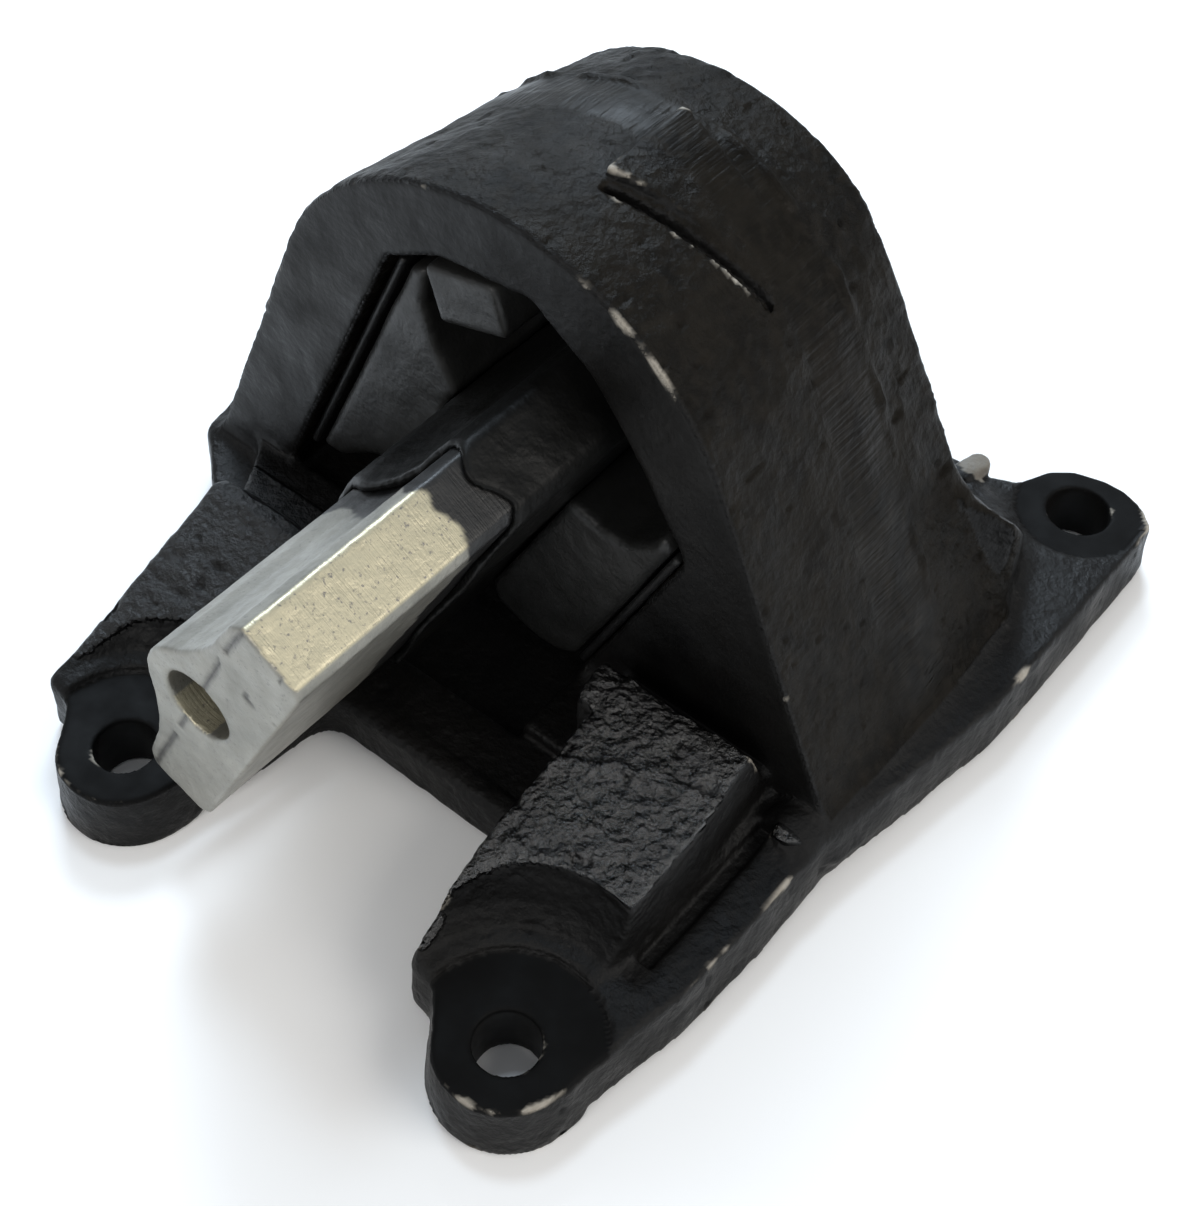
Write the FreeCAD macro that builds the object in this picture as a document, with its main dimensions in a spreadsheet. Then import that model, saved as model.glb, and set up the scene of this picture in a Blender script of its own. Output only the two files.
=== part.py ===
# Engine mount: cast bracket, bonded rubber spring and aluminium core bar.
# Frame: Z up, feet stand on Z = 0.  X = 0 on the core axis, Y = 0 on the front bolt line.
# The core axis runs along Y; the bare end of the core points to -Y.
import FreeCAD, Part
import os
import math
import Sketcher

doc = FreeCAD.newDocument("engine_mount")
sheet = doc.addObject("Spreadsheet::Sheet", "Sizes")

SIZES = {
    # base plate and feet
    "plate_thick": 12.6, "foot_x": 58.6, "foot_pitch": 86.4, "foot_hole_radius": 5.5,
    "lobe_radius": 13.2, "spot_radius": 16.2, "spot_depth": 0.8, "rear_x": 69.4, "rear_y": 154.7,
    "hollow_radius": 21.5, "hollow_z": 14.0, "relief": 1.5, "boss_radius": 13.4,
    "rear_hole_radius": 6.1, "web_reach": 20.6, "edge_reach": 15.9, "bridge_front": 32.0,
    "gap_corner": 8.5, "plate_half": 82.4, "plate_rear": 151.5, "shoulder_half": 75.0,
    "shoulder_front": 60.0, "lobe_rear": 166.3,
    # raised pads on the two front legs
    "pad_inner_reach": 20.6, "pad_outer_reach": 5.9, "pad_front": 1.4,
    "right_low": 15.0, "right_knee": 21.0, "right_knee_z": 26.4, "right_back": 54.0,
    "left_low": 12.8, "left_knee": 26.0, "left_knee_z": 22.2, "left_back": 43.5,
    "pad_high": 30.2, "pad_foot": 18.5,
    # arch
    "arch_front": 63.0, "parting": 95.0, "arch_rear": 121.0, "arch_shift": 1.5,
    "arch_half_left": 76.0, "arch_half_right": 76.0, "arch_radius": 51.4, "arch_centre": 53.8,
    "front_draft": 2.9, "rear_draft": 3.5, "lean_high": 130.0, "lean_reach": 10.0,
    "rib_rear": 146.5, "rib_high": 44.0,
    "rib_inner": 50.0, "rib_outer": 64.0,
    # window
    "window_tilt": 25.0, "wall_left": 32.5, "wall_right": 34.5, "window_bottom": 62.0,
    "shoulder_left": 22.0, "shoulder_right": 22.0, "crown_left": 41.2, "crown_right": 39.2,
    "floor_z": 7.0, "floor_front": 44.0, "floor_left": 34.0, "floor_right": 20.0,
    "bridge_top": 9.5,
    # core bar
    "core_height": 49.0, "core_tilt": 27.5, "core_front": -2.6, "core_length": 119.0,
    "bore_radius": 6.5, "core_flat": 11.8, "core_half": 32.8, "core_lip": 3.0, "core_nub": 11.1,
    "nub_half": 2.6,
    # rubber
    "skin": 1.6, "sleeve_front": 38.0, "sleeve_length": 77.0, "rubber_front": 66.0,
    "rubber_right_front": 63.6, "rubber_rear": 115.0, "liner": 2.0, "liner_top": 20.5,
    "liner_low": -44.0,
    # stop block under the crown of the window
    "stop_wide": 15.0, "stop_high": 9.0, "stop_front": 63.0, "stop_length": 18.0,
    "stop_x": -3.6, "stop_z": 81.8, "stop_tilt": 17.0,
}
for row, (alias, value) in enumerate(SIZES.items(), start=1):
    sheet.set("A%d" % row, alias.replace("_", " "))
    sheet.set("B%d" % row, str(value))
    sheet.setAlias("B%d" % row, alias)
doc.recompute()


def value_of(text):
    """Number for an expression string such as '-foot_x + 2'."""
    obj = sheet.evalExpression(text) if hasattr(sheet, "evalExpression") else None
    return float(obj)


def bound(text):
    """The same expression with every alias pointed at the spreadsheet."""
    out, word = "", ""
    for ch in text + " ":
        if ch.isalpha() or ch == "_":
            word += ch
            continue
        out += ("Sizes." + word) if word in SIZES else word
        word = ""
        out += ch
    return out.strip()


def new_body(label):
    body = doc.addObject("PartDesign::Body", label)
    body.Label = label
    return body


def plane_of(body, role):
    for item in body.Origin.OriginFeatures:
        if item.Role == role:
            return item
    raise ValueError(role)


def new_sketch(body, role, name, base=("0", "0", "0"), tilt=None):
    """Sketch on an origin plane, moved by base and turned clockwise by tilt degrees."""
    sk = body.newObject("Sketcher::SketchObject", name)
    sk.AttachmentSupport = [(plane_of(body, role), "")]
    sk.MapMode = "FlatFace"
    turn = FreeCAD.Rotation(FreeCAD.Vector(0, 0, -1), value_of(tilt) if tilt else 0.0)
    sk.AttachmentOffset = FreeCAD.Placement(FreeCAD.Vector(*[value_of(b) for b in base]), turn)
    for axis, text in zip("xyz", base):
        if text != "0":
            sk.setExpression("AttachmentOffset.Base." + axis, bound(text))
    if tilt:
        sk.setExpression("AttachmentOffset.Rotation.Angle", bound(tilt))
    return sk


def pin(sk, geo, pos, x_text, y_text):
    """Hold one sketch point at a pair of expressions."""
    for kind, text in (("DistanceX", x_text), ("DistanceY", y_text)):
        number = sk.addConstraint(Sketcher.Constraint(kind, -1, 1, geo, pos, value_of(text)))
        sk.setExpression("Constraints[%d]" % number, bound(text))


def polygon(sk, corners):
    """Closed run of lines whose corners are pairs of expressions."""
    points = [FreeCAD.Vector(value_of(a), value_of(b), 0) for a, b in corners]
    first = sk.GeometryCount
    count = len(points)
    for i in range(count):
        sk.addGeometry(Part.LineSegment(points[i], points[(i + 1) % count]), False)
    for i in range(count):
        sk.addConstraint(Sketcher.Constraint("Coincident", first + i, 2, first + (i + 1) % count, 1))
    for i, (a, b) in enumerate(corners):
        pin(sk, first + i, 1, a, b)


def circle(sk, x_text, y_text, radius_text):
    centre = FreeCAD.Vector(value_of(x_text), value_of(y_text), 0)
    geo = sk.addGeometry(Part.Circle(centre, FreeCAD.Vector(0, 0, 1), value_of(radius_text)), False)
    pin(sk, geo, 3, x_text, y_text)
    number = sk.addConstraint(Sketcher.Constraint("Radius", geo, value_of(radius_text)))
    sk.setExpression("Constraints[%d]" % number, bound(radius_text))


def feature(body, kind, name, sk, length=None, back=False, through=False, taper=None):
    """Pad or Pocket of a sketch, with its length bound to the spreadsheet."""
    item = body.newObject("PartDesign::" + kind, name)
    item.Profile = sk
    item.Reversed = back
    if through:
        item.Type = "ThroughAll"
        item.Midplane = True
    else:
        item.Length = value_of(length)
        item.setExpression("Length", bound(length))
    if taper:
        item.TaperAngle = value_of(taper)
        item.setExpression("TaperAngle", bound(taper))
    before = body.Shape.Volume if not body.Shape.isNull() else 0.0
    doc.recompute()
    print("%-22s volume %10.0f -> %10.0f" % (name, before, body.Shape.Volume))
    return item


def leg_plan(shift):
    """Corners of one front leg in plan; shift is the hole position along X."""
    return [(shift + " - web_reach", "1"), (shift + " - 14", "-0.6"),
            (shift + " + 12", "1"), (shift + " + edge_reach - 2", "6"),
            (shift + " + edge_reach", "24")]


# ---------------------------------------------------------------- bracket casting
casting = new_body("bracket_casting")

# arch, padded forward and back from the parting plane with draft on both sides
def tangent_angle(half, drop, radius):
    """Angle on the crown circle where the straight side leaves it."""
    return math.atan2(drop, half) + math.acos(radius / math.hypot(half, drop))


def arch_sketch(name):
    sk = new_sketch(casting, "XZ_Plane", name, ("arch_shift", "0", "-parting"))
    low = value_of("plate_thick - 4")
    left_half, right_half = value_of("arch_half_left"), value_of("arch_half_right")
    radius, high = value_of("arch_radius"), value_of("arch_centre")
    start = tangent_angle(right_half, low - high, radius)
    end = math.pi - tangent_angle(left_half, low - high, radius)
    tips = [FreeCAD.Vector(radius * math.cos(t), high + radius * math.sin(t), 0) for t in (start, end)]
    foot_r, foot_l = FreeCAD.Vector(right_half, low, 0), FreeCAD.Vector(-left_half, low, 0)
    sk.addGeometry(Part.LineSegment(foot_l, foot_r), False)
    sk.addGeometry(Part.LineSegment(foot_r, tips[0]), False)
    crown = Part.Circle(FreeCAD.Vector(0, high, 0), FreeCAD.Vector(0, 0, 1), radius)
    sk.addGeometry(Part.ArcOfCircle(crown, start, end), False)
    sk.addGeometry(Part.LineSegment(tips[1], foot_l), False)
    sk.addConstraint(Sketcher.Constraint("Coincident", 0, 2, 1, 1))
    sk.addConstraint(Sketcher.Constraint("Coincident", 3, 2, 0, 1))
    sk.addConstraint(Sketcher.Constraint("Tangent", 1, 2, 2, 1))
    sk.addConstraint(Sketcher.Constraint("Tangent", 2, 2, 3, 1))
    pin(sk, 0, 1, "-arch_half_left", "plate_thick - 4")
    pin(sk, 0, 2, "arch_half_right", "plate_thick - 4")
    pin(sk, 2, 3, "0", "arch_centre")
    number = sk.addConstraint(Sketcher.Constraint("Radius", 2, radius))
    sk.setExpression("Constraints[%d]" % number, bound("arch_radius"))
    return sk


feature(casting, "Pad", "arch_front_half", arch_sketch("arch_front_profile"),
        "parting - arch_front", taper="-front_draft")
feature(casting, "Pad", "arch_rear_half", arch_sketch("arch_rear_profile"),
        "arch_rear - parting", back=True, taper="-rear_draft")

# rear face of the arch, which leans forward with height
lean = new_sketch(casting, "YZ_Plane", "rear_lean_profile")
polygon(lean, [("arch_rear", "plate_thick"), ("arch_rear + 12", "plate_thick"),
               ("arch_rear + 12", "lean_high"), ("arch_rear - lean_reach", "lean_high")])
feature(casting, "Pocket", "rear_lean", lean, through=True)

# window through the arch, leaning with the rubber spring
window = new_sketch(casting, "XZ_Plane", "window_profile", ("0", "core_height", "-parting"),
                    "window_tilt")
polygon(window, [("-wall_left", "-window_bottom"), ("-wall_left", "shoulder_left"),
                 ("-wall_left + 8", "shoulder_left + 10"), ("-9", "crown_left"),
                 ("5", "crown_right"), ("20", "crown_right - 7.6"),
                 ("wall_right", "shoulder_right"), ("wall_right", "-window_bottom + 20")])
feature(casting, "Pocket", "window", window, through=True)

# base plate with two front legs, two rear feet and the gap between the legs
plate = new_sketch(casting, "XY_Plane", "plate_profile")
right_leg = leg_plan("foot_x")
left_leg = leg_plan("foot_x - foot_pitch")
polygon(plate, right_leg + [
    ("foot_x + edge_reach", "arch_front + 3"), ("plate_half", "parting + 6"),
    ("plate_half + 1", "lobe_rear - 8"), ("plate_half - 3", "lobe_rear - 2"),
    ("rear_x", "lobe_rear"), ("rear_x - 8", "lobe_rear - 3"), ("rear_x - 13", "plate_rear + 2"),
    ("rear_x - 20", "plate_rear"), ("-rear_x + 20", "plate_rear"),
    ("-rear_x + 13", "plate_rear + 2"), ("-rear_x + 8", "lobe_rear - 3"),
    ("-rear_x", "lobe_rear"), ("-plate_half + 3", "lobe_rear - 2"),
    ("-plate_half - 1", "lobe_rear - 8"), ("-plate_half", "parting + 6"),
    ("-shoulder_half", "arch_front + 3"), ("-shoulder_half", "shoulder_front"),
    ("foot_x - foot_pitch - web_reach - 8", "shoulder_front - 7"),
    ("foot_x - foot_pitch - web_reach - 1", "shoulder_front - 22")] + left_leg + [
    ("foot_x - foot_pitch + edge_reach", "bridge_front - gap_corner"),
    ("foot_x - foot_pitch + edge_reach + gap_corner", "bridge_front"),
    ("foot_x - web_reach", "bridge_front")])
feature(casting, "Pad", "base_plate", plate, "plate_thick")

lobes = new_sketch(casting, "XY_Plane", "lobe_profile")
for x_text in ("foot_x", "foot_x - foot_pitch"):
    circle(lobes, x_text, "0", "lobe_radius")
feature(casting, "Pad", "foot_lobes", lobes, "plate_thick")

# raised pads that run from the front feet up to the arch, hollowed out round the bolt heads
for side, x_text in (("right", "foot_x"), ("left", "foot_x - foot_pitch")):
    rise = new_sketch(casting, "YZ_Plane", side + "_pad_profile",
                      ("0", "0", x_text + " - pad_inner_reach"))
    back = side + "_back"
    polygon(rise, [("pad_front", "plate_thick - 2"), ("pad_front", side + "_low"),
                   (side + "_knee", side + "_knee_z"), (back, "pad_high"), (back + " + 2", "pad_high - 1"),
                   (back + " + 6", "pad_foot"), ("arch_front + 1", "pad_foot - 1.5"),
                   ("arch_front + 1", "plate_thick - 2")])
    feature(casting, "Pad", side + "_pad", rise, "pad_inner_reach + pad_outer_reach")
    for name, r_text, z_text in (("_hollow", "hollow_radius", "hollow_z"),
                                 ("_spot_wall", "spot_radius", "plate_thick")):
        clear = new_sketch(casting, "XY_Plane", side + name + "_profile", ("0", "0", z_text))
        circle(clear, x_text, "0", r_text)
        feature(casting, "Pocket", side + name, clear, "30", back=True)

# gussets behind the arch
for side, base_text in (("right", "rib_inner"), ("left", "-rib_outer")):
    rib = new_sketch(casting, "YZ_Plane", side + "_rib_profile", ("0", "0", base_text))
    polygon(rib, [("arch_rear - 8", "plate_thick - 2"), ("arch_rear - 8", "rib_high"),
                  ("arch_rear + 7", "rib_high - 18"), ("rib_rear", "plate_thick + 3"),
                  ("rib_rear", "plate_thick - 2")])
    feature(casting, "Pad", side + "_rib", rib, "rib_outer - rib_inner")

# sunk floor under the core
sink = new_sketch(casting, "XY_Plane", "floor_profile", ("0", "0", "floor_z"))
polygon(sink, [("floor_right", "floor_front"), ("floor_right", "arch_rear + 4"),
               ("-floor_left", "arch_rear + 4"), ("-floor_left", "arch_front - 1"),
               ("-floor_left + 10", "arch_front - 11"), ("-floor_left + 14", "floor_front")])
feature(casting, "Pocket", "floor_sink", sink, "25", back=True)

# lowered bridge between the two legs
dip = new_sketch(casting, "XY_Plane", "bridge_profile", ("0", "0", "bridge_top"))
polygon(dip, [("foot_x - foot_pitch + edge_reach", "bridge_front - 1"),
              ("foot_x - web_reach", "bridge_front - 1"),
              ("foot_x - web_reach", "floor_front"), ("foot_x - foot_pitch + edge_reach", "floor_front")])
feature(casting, "Pocket", "bridge_dip", dip, "pad_high", back=True)

# relief under the plate, which leaves the four feet standing proud
relief = new_sketch(casting, "XY_Plane", "relief_profile")
polygon(relief, [("-plate_half - 5", "-20"), ("plate_half + 5", "-20"),
                 ("plate_half + 5", "lobe_rear + 5"), ("-plate_half - 5", "lobe_rear + 5")])
for x_text, y_text in (("foot_x", "0"), ("foot_x - foot_pitch", "0"), ("rear_x", "rear_y"),
                       ("-rear_x", "rear_y")):
    circle(relief, x_text, y_text, "boss_radius")
feature(casting, "Pocket", "underside_relief", relief, "relief", back=True)

# spot faces and bolt holes
faces = new_sketch(casting, "XY_Plane", "spot_face_profile", ("0", "0", "plate_thick - spot_depth"))
for x_text, y_text, r_text in (("foot_x", "0", "spot_radius - 0.4"),
                               ("foot_x - foot_pitch", "0", "spot_radius - 0.4")):
    circle(faces, x_text, y_text, r_text)
feature(casting, "Pocket", "spot_faces", faces, "spot_depth + 4", back=True)

holes = new_sketch(casting, "XY_Plane", "hole_profile")
for x_text, y_text, r_text in (("foot_x", "0", "foot_hole_radius"),
                               ("foot_x - foot_pitch", "0", "foot_hole_radius"),
                               ("rear_x", "rear_y", "rear_hole_radius"),
                               ("-rear_x", "rear_y", "rear_hole_radius")):
    circle(holes, x_text, y_text, r_text)
feature(casting, "Pocket", "bolt_holes", holes, "plate_thick + 10", back=True)

# ---------------------------------------------------------------- core bar and its rubber skin
def core_outline(grow):
    """Core section corners; grow is an expression added all round."""
    upper = [("core_flat + " + grow, "core_half - 3.2 + " + grow),
             ("core_flat - 1.5 + " + grow, "core_half - 1.2 + " + grow),
             ("-core_lip + 2.2 - " + grow, "core_half + " + grow),
             ("-core_lip - " + grow, "core_half - 2.2 + " + grow),
             ("-core_lip - " + grow, "core_half * 0.7 + " + grow + " / 2"),
             ("-core_lip - 1.1 - " + grow, "core_half * 0.5 + " + grow + " / 2"),
             ("-core_nub * 0.6 - " + grow + " * 0.8", "core_half * 0.3 + " + grow + " / 2"),
             ("-core_nub + 1.4 - " + grow + " * 0.9", "nub_half + 2.6 + " + grow + " / 2"),
             ("-core_nub - " + grow, "nub_half + " + grow + " / 4")]
    lower = [(a, "-(" + b + ")") for a, b in reversed(upper)]
    return upper + lower


bar = new_body("core_bar")
section = new_sketch(bar, "XZ_Plane", "core_profile", ("0", "core_height", "-core_front"), "core_tilt")
polygon(section, core_outline("0"))
circle(section, "0", "0", "bore_radius")
feature(bar, "Pad", "core_extrusion", section, "core_length", back=True)

sleeve = new_body("core_sleeve")
skin_sketch = new_sketch(sleeve, "XZ_Plane", "sleeve_profile", ("0", "core_height", "-sleeve_front"),
                         "core_tilt")
polygon(skin_sketch, core_outline("skin"))
feature(sleeve, "Pad", "sleeve_solid", skin_sketch, "sleeve_length", back=True)
inside = new_sketch(sleeve, "XZ_Plane", "sleeve_bore_profile",
                    ("0", "core_height", "-sleeve_front"), "core_tilt")
polygon(inside, core_outline("0"))
feature(sleeve, "Pocket", "sleeve_bore", inside, through=True)


# ---------------------------------------------------------------- rubber legs and liner plates
def spring_block(label, front, corners, seat=True):
    """Prism through the window, from front to rubber_rear, cut away round the core."""
    body = new_body(label)
    sk = new_sketch(body, "XZ_Plane", label + "_profile", ("0", "core_height", "-" + front),
                    "window_tilt")
    polygon(sk, corners)
    feature(body, "Pad", label + "_block", sk, "rubber_rear - " + front, back=True)
    if seat:
        seat_sketch = new_sketch(body, "XZ_Plane", label + "_core_profile",
                                 ("0", "core_height", "-" + front), "core_tilt")
        polygon(seat_sketch, core_outline("skin"))
        feature(body, "Pocket", label + "_core_seat", seat_sketch, through=True)


spring_block("rubber_left_leg", "rubber_front", [
    ("-wall_left + liner", "-42"), ("-wall_left + liner", "liner_top"),
    ("-wall_left + liner + 3.5", "liner_top + 3"), ("-24.5", "15"), ("-18.5", "8.5"), ("-11", "3"),
    ("-6", "-2"), ("-4", "-20"), ("-12", "-24"), ("-20", "-31.5"), ("-25", "-40")])
spring_block("rubber_right_leg", "rubber_right_front", [
    ("wall_right - liner", "-24"), ("wall_right - liner", "liner_top"), ("29.5", "liner_top + 2"),
    ("28.5", "18"), ("25", "12.8"), ("20", "10.8"), ("11", "10"), ("11", "-26"), ("15", "-31"),
    ("25", "-30"), ("30", "-27.5")])
spring_block("liner_left", "rubber_front", [
    ("-wall_left", "liner_low"), ("-wall_left + liner", "liner_low"),
    ("-wall_left + liner", "liner_top"), ("-wall_left", "liner_top")], seat=False)
spring_block("liner_right", "rubber_right_front", [
    ("wall_right - liner", "-24"), ("wall_right", "-24"),
    ("wall_right", "liner_top"), ("wall_right - liner", "liner_top")], seat=False)

# ---------------------------------------------------------------- stop block
stop = new_body("stop_block")
stop_sketch = new_sketch(stop, "XZ_Plane", "stop_profile", ("stop_x", "stop_z", "-stop_front"),
                         "-stop_tilt")
polygon(stop_sketch, [("-stop_wide / 2", "-stop_high / 2"), ("stop_wide / 2", "-stop_high / 2"),
                      ("stop_wide / 2", "stop_high / 2 + 0.6"),
                      ("-stop_wide / 2", "stop_high / 2 + 1.8")])
feature(stop, "Pad", "stop_solid", stop_sketch, "stop_length", back=True)

doc.recompute()
os.makedirs("parts", exist_ok=True)
for obj in doc.Objects:
    if "Invalid" in obj.State or "Error" in obj.State:
        raise RuntimeError("bad state: %s %s" % (obj.Label, obj.State))
for body in [o for o in doc.Objects if o.TypeId == "PartDesign::Body"]:
    if body.Shape.isNull() or not body.Shape.isValid():
        raise RuntimeError("bad shape: " + body.Label)
    body.Shape.exportStep("parts/%s.step" % body.Label)
    box = body.Shape.BoundBox
    print("%-18s solids %d  X %.1f..%.1f  Y %.1f..%.1f  Z %.1f..%.1f" % (
        body.Label, len(body.Shape.Solids), box.XMin, box.XMax, box.YMin, box.YMax, box.ZMin, box.ZMax))
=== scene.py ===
import math

import bpy
import numpy as np
from mathutils import Matrix, Vector


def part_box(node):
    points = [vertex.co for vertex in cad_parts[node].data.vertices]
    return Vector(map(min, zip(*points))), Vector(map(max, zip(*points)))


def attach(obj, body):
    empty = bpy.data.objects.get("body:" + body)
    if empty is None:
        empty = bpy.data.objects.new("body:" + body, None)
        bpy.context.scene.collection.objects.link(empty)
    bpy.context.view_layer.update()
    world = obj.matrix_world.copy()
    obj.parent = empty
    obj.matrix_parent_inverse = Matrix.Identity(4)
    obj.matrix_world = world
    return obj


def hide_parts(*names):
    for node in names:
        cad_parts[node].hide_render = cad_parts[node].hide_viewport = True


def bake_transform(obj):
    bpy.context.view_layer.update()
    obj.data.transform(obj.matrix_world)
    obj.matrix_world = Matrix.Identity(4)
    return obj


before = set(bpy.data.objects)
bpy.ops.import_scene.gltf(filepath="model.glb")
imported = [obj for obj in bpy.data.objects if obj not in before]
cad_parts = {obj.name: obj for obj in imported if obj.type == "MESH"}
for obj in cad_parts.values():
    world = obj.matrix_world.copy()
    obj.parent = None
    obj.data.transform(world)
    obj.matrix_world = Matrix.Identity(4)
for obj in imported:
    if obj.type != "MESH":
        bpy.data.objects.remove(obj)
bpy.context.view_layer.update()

MM = 0.001

# ------------------------------------------------------------------ main sizes, mm
HOLE_R, HOLE_L = 58.6, -27.8             # x of the two front bolt holes
REAR_X, REAR_Y = 69.4, 154.7             # rear bolt holes, at plus and minus x
PLATE = 12.6                             # height of the plate top
CORE_Z = 49.0                            # height of the bar axis
CORE_TILT, WINDOW_TILT = math.radians(27.5), math.radians(25.0)
ARCH_Y, PARTING_Y = 63.0, 95.0           # front face of the arch, and its parting line
RUBBER_REAR = 115.0


# ------------------------------------------------------------------ small field modeller
def polygon(px, py, pts):
    """Signed distance to a closed polygon, negative inside."""
    pts = np.asarray(pts, float)
    d = np.full(np.broadcast(px, py).shape, 1e9, np.float32)
    sign = np.ones(d.shape, np.float32)
    for i in range(len(pts)):
        a, b = pts[i], pts[i - 1]
        ex, ey = b - a
        wx, wy = px - a[0], py - a[1]
        t = np.clip((wx * ex + wy * ey) / (ex * ex + ey * ey), 0, 1)
        d = np.minimum(d, (wx - ex * t) ** 2 + (wy - ey * t) ** 2)
        c1, c2, c3 = py >= a[1], py < b[1], ex * wy > ey * wx
        flip = (c1 & c2 & c3) | (~c1 & ~c2 & ~c3)
        sign = np.where(flip, -sign, sign)
    return (sign * np.sqrt(d)).astype(np.float32)


def rounded(corners):
    """Polygon points with an arc at each corner; a corner is (x, y) or (x, y, radius)."""
    out, n = [], len(corners)
    for i in range(n):
        p = np.array(corners[i][:2], float)
        r = corners[i][2] if len(corners[i]) > 2 else 0.0
        a = np.array(corners[i - 1][:2], float) - p
        b = np.array(corners[(i + 1) % n][:2], float) - p
        la, lb = np.linalg.norm(a), np.linalg.norm(b)
        a, b = a / la, b / lb
        half = math.acos(float(np.clip(a @ b, -1, 1))) / 2
        if r <= 0 or half > 1.5:
            out.append(p)
            continue
        reach = min(r / math.tan(half), 0.49 * la, 0.49 * lb)
        for s in np.linspace(0, 1, 7):
            out.append((1 - s) ** 2 * (p + a * reach) + 2 * s * (1 - s) * p + s * s * (p + b * reach))
    return out


def smin(a, b, k):
    """Union of two fields with a fillet about k wide."""
    if k <= 0:
        return np.minimum(a, b)
    h = np.maximum(k - np.abs(a - b), 0) / k
    return np.minimum(a, b) - h * h * (k / 4)


def smax(a, b, k):
    """Intersection of two fields with its edge rounded over about k."""
    return -smin(-a, -b, k)


def prism(d2, d1, r=0.0):
    """Solid where both distances are negative, with its convex edge rounded by r."""
    a, b = d2 + r, d1 + r
    return np.minimum(np.maximum(a, b), 0) + np.hypot(np.maximum(a, 0), np.maximum(b, 0)) - r


def slab(t, low, high):
    """Distance to the range from low to high, negative inside."""
    return np.abs(t - (low + high) / 2) - (high - low) / 2


def grid(lo, hi, h):
    """Axis arrays of a block, ready to broadcast."""
    n = [int(math.ceil((b - a) / h)) + 1 for a, b in zip(lo, hi)]
    ax = [(a + h * np.arange(m)).astype(np.float32) for a, m in zip(lo, n)]
    return ax[0][:, None, None], ax[1][None, :, None], ax[2][None, None, :]


def sample(f, lo, h, p):
    """Value of the field at points p."""
    q = (p - np.asarray(lo)) / h
    q = np.clip(q, 0, np.array(f.shape) - 1.001)
    i = q.astype(np.int32)
    t = (q - i).astype(np.float32)
    out = np.zeros(len(p), np.float32)
    for dx in (0, 1):
        wx = t[:, 0] if dx else 1 - t[:, 0]
        for dy in (0, 1):
            wy = t[:, 1] if dy else 1 - t[:, 1]
            for dz in (0, 1):
                wz = t[:, 2] if dz else 1 - t[:, 2]
                out += wx * wy * wz * f[i[:, 0] + dx, i[:, 1] + dy, i[:, 2] + dz]
    return out


def gradient(f, lo, h, p, step=None):
    """Unit outward normals of the field at points p."""
    step = step or h
    g = np.empty((len(p), 3), np.float32)
    for k in range(3):
        e = np.zeros(3)
        e[k] = step
        g[:, k] = sample(f, lo, h, p + e) - sample(f, lo, h, p - e)
    return g / np.maximum(np.linalg.norm(g, axis=1, keepdims=True), 1e-6)


def net(f, lo, h):
    """Vertices and quads of the zero surface of a field (surface nets)."""
    inside = f < 0
    n = inside.astype(np.int8)
    for ax in range(3):
        cut_a = [slice(None)] * 3
        cut_b = [slice(None)] * 3
        cut_a[ax], cut_b[ax] = slice(0, -1), slice(1, None)
        n = n[tuple(cut_a)] + n[tuple(cut_b)]
    active = (n > 0) & (n < 8)
    cells = np.argwhere(active)
    index = np.full(active.shape, -1, np.int32)
    index[active] = np.arange(len(cells))
    total = np.zeros((len(cells), 3))
    count = np.zeros(len(cells))
    for ax in range(3):
        for s in (0, 1):
            for t in (0, 1):
                a = np.zeros(3, int)
                a[(ax + 1) % 3], a[(ax + 2) % 3] = s, t
                b = a.copy()
                b[ax] = 1
                fa = f[tuple((cells + a).T)].astype(float)
                fb = f[tuple((cells + b).T)].astype(float)
                hit = (fa < 0) != (fb < 0)
                w = np.where(hit, fa / np.where(hit, fa - fb, 1), 0)
                total += np.where(hit[:, None], a + w[:, None] * (b - a), 0)
                count += hit
    points = np.asarray(lo) + h * (cells + total / count[:, None])
    quads = []
    for ax in range(3):
        u, v = (ax + 1) % 3, (ax + 2) % 3
        near = [slice(None)] * 3
        far = [slice(None)] * 3
        near[ax], far[ax] = slice(0, -1), slice(1, None)
        a, b = inside[tuple(near)], inside[tuple(far)]
        g = np.argwhere(a != b)
        g = g[(g[:, u] > 0) & (g[:, v] > 0) & (g[:, u] < f.shape[u] - 1) & (g[:, v] < f.shape[v] - 1)]
        eu, ev = np.eye(3, dtype=int)[u], np.eye(3, dtype=int)[v]
        q = np.stack([index[tuple((g - o).T)] for o in (eu + ev, ev, 0 * eu, eu)], 1)
        flip = ~a[tuple(g.T)]
        q[flip] = q[flip][:, ::-1]
        quads.append(q)
    return points, np.concatenate(quads)


def noise(p, size, seed):
    """Smooth noise from -1 to 1 at points p, with bumps about size apart."""
    table = np.random.RandomState(seed).rand(32, 32, 32).astype(np.float32) * 2 - 1
    q = np.asarray(p) / size + 11.7
    i = np.floor(q).astype(np.int64)
    t = (q - i).astype(np.float32)
    t = t * t * (3 - 2 * t)
    out = np.zeros(len(q), np.float32)
    for dx in (0, 1):
        wx = t[:, 0] if dx else 1 - t[:, 0]
        for dy in (0, 1):
            wy = t[:, 1] if dy else 1 - t[:, 1]
            for dz in (0, 1):
                wz = t[:, 2] if dz else 1 - t[:, 2]
                out += wx * wy * wz * table[(i[:, 0] + dx) & 31, (i[:, 1] + dy) & 31, (i[:, 2] + dz) & 31]
    return out


def ramp(x, a, b):
    """Smooth step from 0 at a to 1 at b."""
    t = np.clip((x - a) / (b - a), 0, 1)
    return t * t * (3 - 2 * t)


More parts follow.
